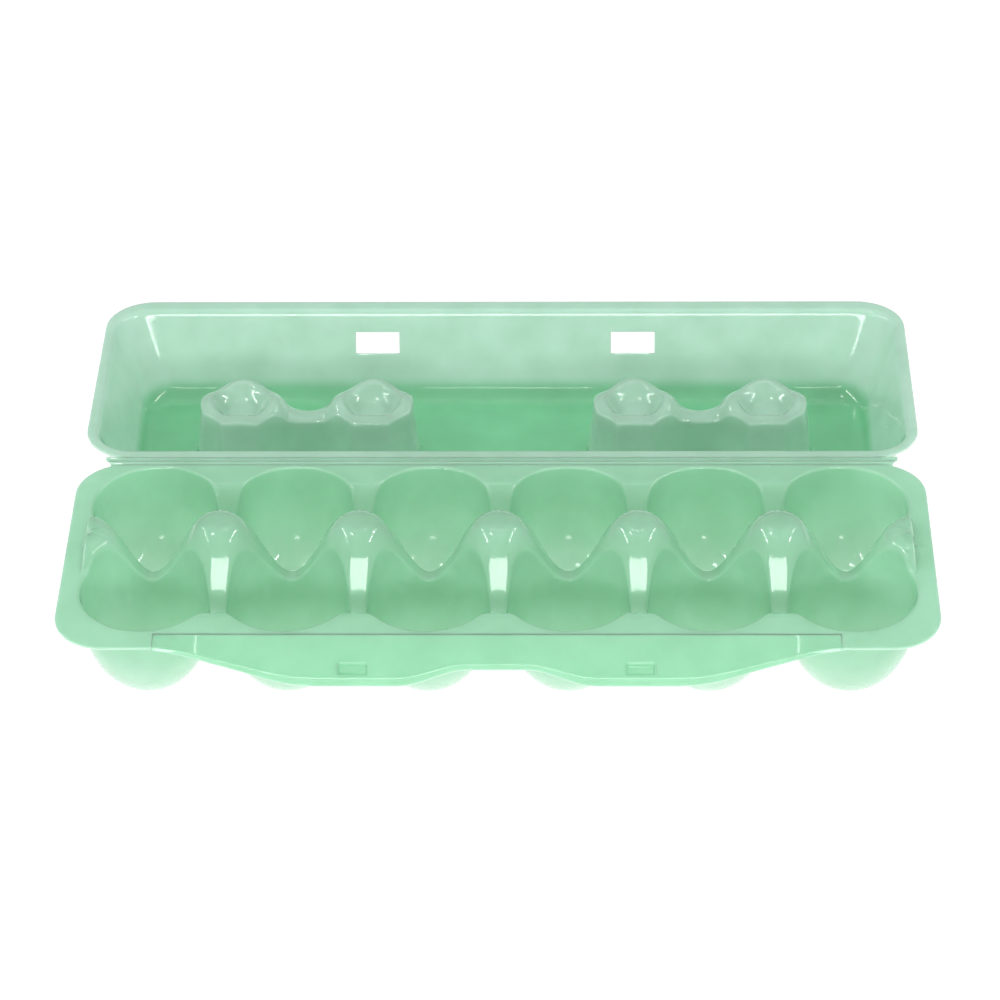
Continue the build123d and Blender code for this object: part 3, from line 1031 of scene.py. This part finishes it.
class CARTON_OT_stage(bpy.types.Operator):
    """White paper floor, soft studio lights and the camera"""

    bl_idname = "carton.stage"
    bl_label = "Studio"

    def execute(self, context):
        settings = context.scene.carton
        deselect_all()
        bpy.ops.mesh.primitive_plane_add(size=settings.floor_size)
        floor = context.object
        floor.name = "floor"
        floor.location.z = -FLOOR_DROP
        paint(floor, studio_floor())
        self.light("Key softbox", (-0.5, -0.3, 1.5), (0, 0, 0), 0.3, 0.2, 1.6)
        self.light("Left strip", (-1.1, -0.2, 1.0), (0, 0, 0), 1.6, 0.05, 4.8)
        self.light("Right strip", (1.1, -0.2, 1.0), (0, 0, 0), 1.6, 0.05, 4.8)
        self.light("Front fill", (0.0, -1.5, 0.5), (0, 0, 0.03), 1.4, 0.3, 9.0)
        self.light("Top strip", (0.0, 0.3, 1.6), (0, 0, 0), 1.0, 0.05, 0.8)
        world = bpy.data.worlds.new("Studio world")
        context.scene.world = world
        world.use_nodes = True
        background = world.node_tree.nodes["Background"]
        background.inputs["Color"].default_value = (1.0, 1.0, 1.0, 1.0)
        background.inputs["Strength"].default_value = 0.34
        context.scene.view_settings.view_transform = "Standard"
        self.camera(settings, context)
        return {"FINISHED"}

    def light(self, name, place, target, width, depth, power):
        bpy.ops.object.light_add(type="AREA", location=place)
        lamp = bpy.context.object
        lamp.name = name
        lamp.data.shape = "RECTANGLE"
        lamp.data.size = width
        lamp.data.size_y = depth
        lamp.data.energy = power
        lamp.rotation_euler = (Vector(target) - Vector(place)).to_track_quat("-Z", "Y").to_euler()

    def camera(self, settings, context):
        target = Vector(CAMERA_TARGET) * MM
        tilt, yaw, roll = settings.camera_elevation, settings.camera_yaw, settings.camera_roll
        level = math.cos(tilt)
        forward = Vector((math.sin(yaw) * level, math.cos(yaw) * level, -math.sin(tilt)))
        right = Vector((math.cos(yaw), -math.sin(yaw), 0))
        down = forward.cross(right)
        rolled_right = right * math.cos(roll) + down * math.sin(roll)
        rolled_down = down * math.cos(roll) - right * math.sin(roll)
        place = target - forward * settings.camera_distance
        bpy.ops.object.camera_add()
        camera = context.object
        turn = Matrix((rolled_right, -rolled_down, -forward)).transposed().to_4x4()
        camera.matrix_world = Matrix.Translation(place) @ turn
        camera.data.lens = settings.lens / MM
        camera.data.sensor_width = 36.0
        camera.data.clip_end = 50.0
        context.scene.camera = camera


class CARTON_PT_panel(bpy.types.Panel):
    bl_label = "Egg Carton"
    bl_idname = "CARTON_PT_panel"
    bl_space_type = "VIEW_3D"
    bl_region_type = "UI"
    bl_category = "Egg Carton"

    def draw(self, context):
        for operator in OPERATORS:
            self.layout.operator(operator.bl_idname)


OPERATORS = (CARTON_OT_tray, CARTON_OT_lid, CARTON_OT_hinge, CARTON_OT_flap, CARTON_OT_stage)


def register():
    for item in (CartonSettings, *OPERATORS, CARTON_PT_panel):
        bpy.utils.register_class(item)
    bpy.types.Scene.carton = bpy.props.PointerProperty(type=CartonSettings)


def unregister():
    del bpy.types.Scene.carton
    for item in (CARTON_PT_panel, *reversed(OPERATORS), CartonSettings):
        bpy.utils.unregister_class(item)


def main():
    register()
    bpy.ops.carton.tray()
    bpy.ops.carton.lid()
    bpy.ops.carton.hinge()
    bpy.ops.carton.flap()
    bpy.ops.carton.stage()


if __name__ == "__main__":
    main()
